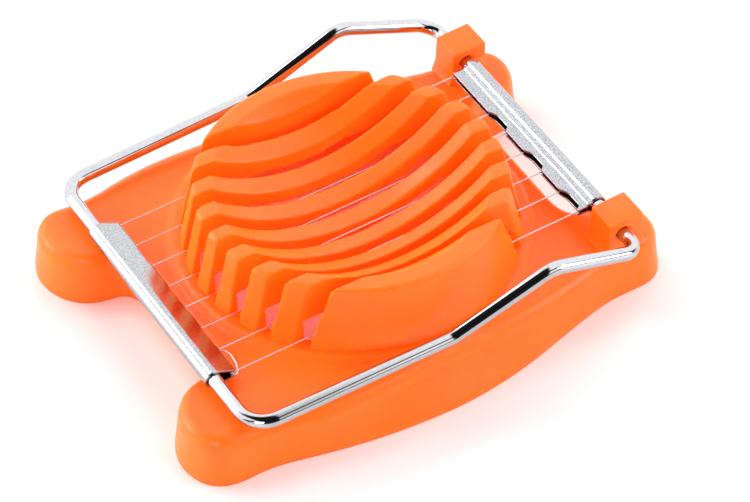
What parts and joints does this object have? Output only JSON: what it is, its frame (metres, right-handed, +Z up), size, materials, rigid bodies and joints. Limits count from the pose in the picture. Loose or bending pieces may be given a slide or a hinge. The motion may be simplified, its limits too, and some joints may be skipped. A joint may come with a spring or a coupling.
{
  "type": "egg slicer",
  "caption": "Egg slicer: moulded base with a slotted bowl for an egg, and a hinged steel frame strung with fine cutting wires.",
  "frame": {"origin": "on the table, under the middle of the object", "axes": "+X from the free front bar to the hinge, +Y across the wires, +Z up"},
  "size_m": [0.0998, 0.0782, 0.0237],
  "materials": {
    "orange_plastic": "satin gloss",
    "polished_rod": "polished",
    "pressed_sheet": "bright pressed sheet",
    "wire": "bright drawn wire"
  },
  "bodies": {
    "base": {"base_tray": "orange_plastic", "cradle_end_left": "orange_plastic", "cradle_end_right": "orange_plastic", "cradle_rib_1": "orange_plastic", "cradle_rib_2": "orange_plastic", "cradle_rib_3": "orange_plastic", "cradle_rib_4": "orange_plastic", "cradle_rib_5": "orange_plastic", "cradle_rib_6": "orange_plastic", "cradle_rib_7": "orange_plastic", "hinge_block_left": "orange_plastic", "hinge_block_right": "orange_plastic"},
    "cutting_frame": {"bail_rod": "polished_rod", "front_wire_holder": "pressed_sheet", "rear_wire_holder": "pressed_sheet", "cutting_wire_1": "wire", "cutting_wire_2": "wire", "cutting_wire_3": "wire", "cutting_wire_4": "wire", "cutting_wire_5": "wire", "cutting_wire_6": "wire", "cutting_wire_7": "wire", "cutting_wire_8": "wire"}
  },
  "joints": [
    {"name": "frame_hinge", "type": "hinge", "parent": "base", "child": "cutting_frame", "pos_m": [0.0394, 0, 0.0148], "axis": [0, 1, 0], "range_deg": [0, 180]}
  ]
}
